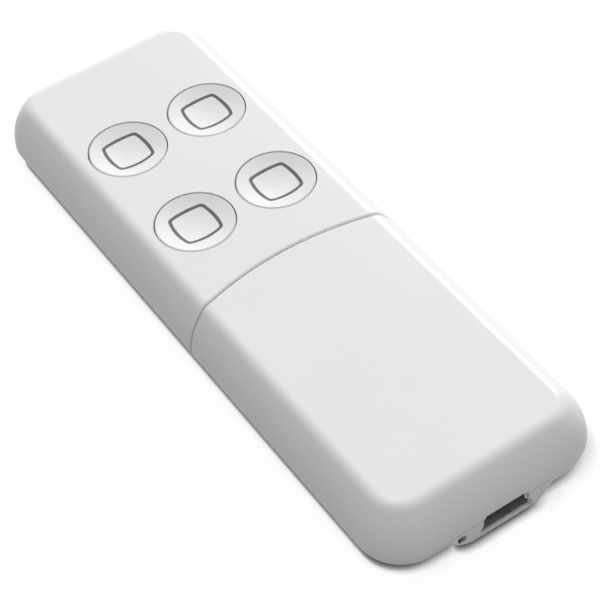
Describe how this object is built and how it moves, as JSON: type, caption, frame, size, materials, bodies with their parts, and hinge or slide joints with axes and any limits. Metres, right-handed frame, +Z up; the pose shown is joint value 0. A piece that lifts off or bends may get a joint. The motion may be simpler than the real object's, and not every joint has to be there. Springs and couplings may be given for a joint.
{
  "type": "handheld remote control",
  "caption": "Slim white handheld wireless remote: round dished keys at one end, a slide cover over small set-up keys, and a charging port in the near end.",
  "frame": {"origin": "centre of the flat underside", "axes": "+Y along the length towards the round keys, +X across the width to the right, +Z up out of the key face"},
  "size_m": [0.032, 0.094, 0.0095],
  "materials": {
    "case_white": "satin moulded white",
    "key_white": "satin moulded white, printed ring outline",
    "setup_grey": "matt light grey",
    "stem_white": "plain moulded",
    "board": "green solder mask",
    "black_plastic": "matt black",
    "tin_plate": "tin plated",
    "gold": "gold plated",
    "foam": "adhesive foam",
    "cell_foil": "laminated foil pouch",
    "plug_white": "plain moulded",
    "lead_red": "insulated wire",
    "led": "clear resin",
    "screw_steel": "black zinc"
  },
  "bodies": {
    "housing": {"upper_case": "case_white", "bottom_case": "case_white", "main_board": "board", "charge_board": "board", "board_link": "black_plastic", "main_switch_bases": "black_plastic", "setup_switch_bases": "black_plastic", "usb_shell": "tin_plate", "usb_tongue": "black_plastic", "usb_contacts": "gold", "battery_pad": "foam", "battery_cell": "cell_foil", "battery_plug": "plug_white", "battery_leads": "lead_red", "radio_shield": "tin_plate", "control_chip": "black_plastic", "crystal": "tin_plate", "status_led": "led", "antenna": "gold", "case_screws": "screw_steel"},
    "slide_cover": {"slide_cover": "case_white"},
    "main_button_1": {"main_button_1": "key_white", "main_switch_stem_1": "stem_white"},
    "main_button_2": {"main_button_2": "key_white", "main_switch_stem_2": "stem_white"},
    "main_button_3": {"main_button_3": "key_white", "main_switch_stem_3": "stem_white"},
    "main_button_4": {"main_button_4": "key_white", "main_switch_stem_4": "stem_white"},
    "setup_button_1": {"setup_button_1": "setup_grey", "setup_switch_stem_1": "stem_white"},
    "setup_button_2": {"setup_button_2": "setup_grey", "setup_switch_stem_2": "stem_white"},
    "setup_button_3": {"setup_button_3": "setup_grey", "setup_switch_stem_3": "stem_white"},
    "setup_button_4": {"setup_button_4": "setup_grey", "setup_switch_stem_4": "stem_white"}
  },
  "joints": [
    {"name": "cover_slide", "type": "slide", "parent": "housing", "child": "slide_cover", "axis": [0, -1, 0], "range_m": [0, 0.019]},
    {"name": "main_press_1", "type": "slide", "parent": "housing", "child": "main_button_1", "axis": [0, 0, -1], "range_m": [0, 0.0003], "stiffness_N_per_m": 4000, "springref_m": -0.0001},
    {"name": "main_press_2", "type": "slide", "parent": "housing", "child": "main_button_2", "axis": [0, 0, -1], "range_m": [0, 0.0003], "stiffness_N_per_m": 4000, "springref_m": -0.0001},
    {"name": "main_press_3", "type": "slide", "parent": "housing", "child": "main_button_3", "axis": [0, 0, -1], "range_m": [0, 0.0003], "stiffness_N_per_m": 4000, "springref_m": -0.0001},
    {"name": "main_press_4", "type": "slide", "parent": "housing", "child": "main_button_4", "axis": [0, 0, -1], "range_m": [0, 0.0003], "stiffness_N_per_m": 4000, "springref_m": -0.0001},
    {"name": "setup_press_1", "type": "slide", "parent": "housing", "child": "setup_button_1", "axis": [0, 0, -1], "range_m": [0, 0.0002], "stiffness_N_per_m": 4000, "springref_m": -0.0001},
    {"name": "setup_press_2", "type": "slide", "parent": "housing", "child": "setup_button_2", "axis": [0, 0, -1], "range_m": [0, 0.0002], "stiffness_N_per_m": 4000, "springref_m": -0.0001},
    {"name": "setup_press_3", "type": "slide", "parent": "housing", "child": "setup_button_3", "axis": [0, 0, -1], "range_m": [0, 0.0002], "stiffness_N_per_m": 4000, "springref_m": -0.0001},
    {"name": "setup_press_4", "type": "slide", "parent": "housing", "child": "setup_button_4", "axis": [0, 0, -1], "range_m": [0, 0.0002], "stiffness_N_per_m": 4000, "springref_m": -0.0001}
  ]
}
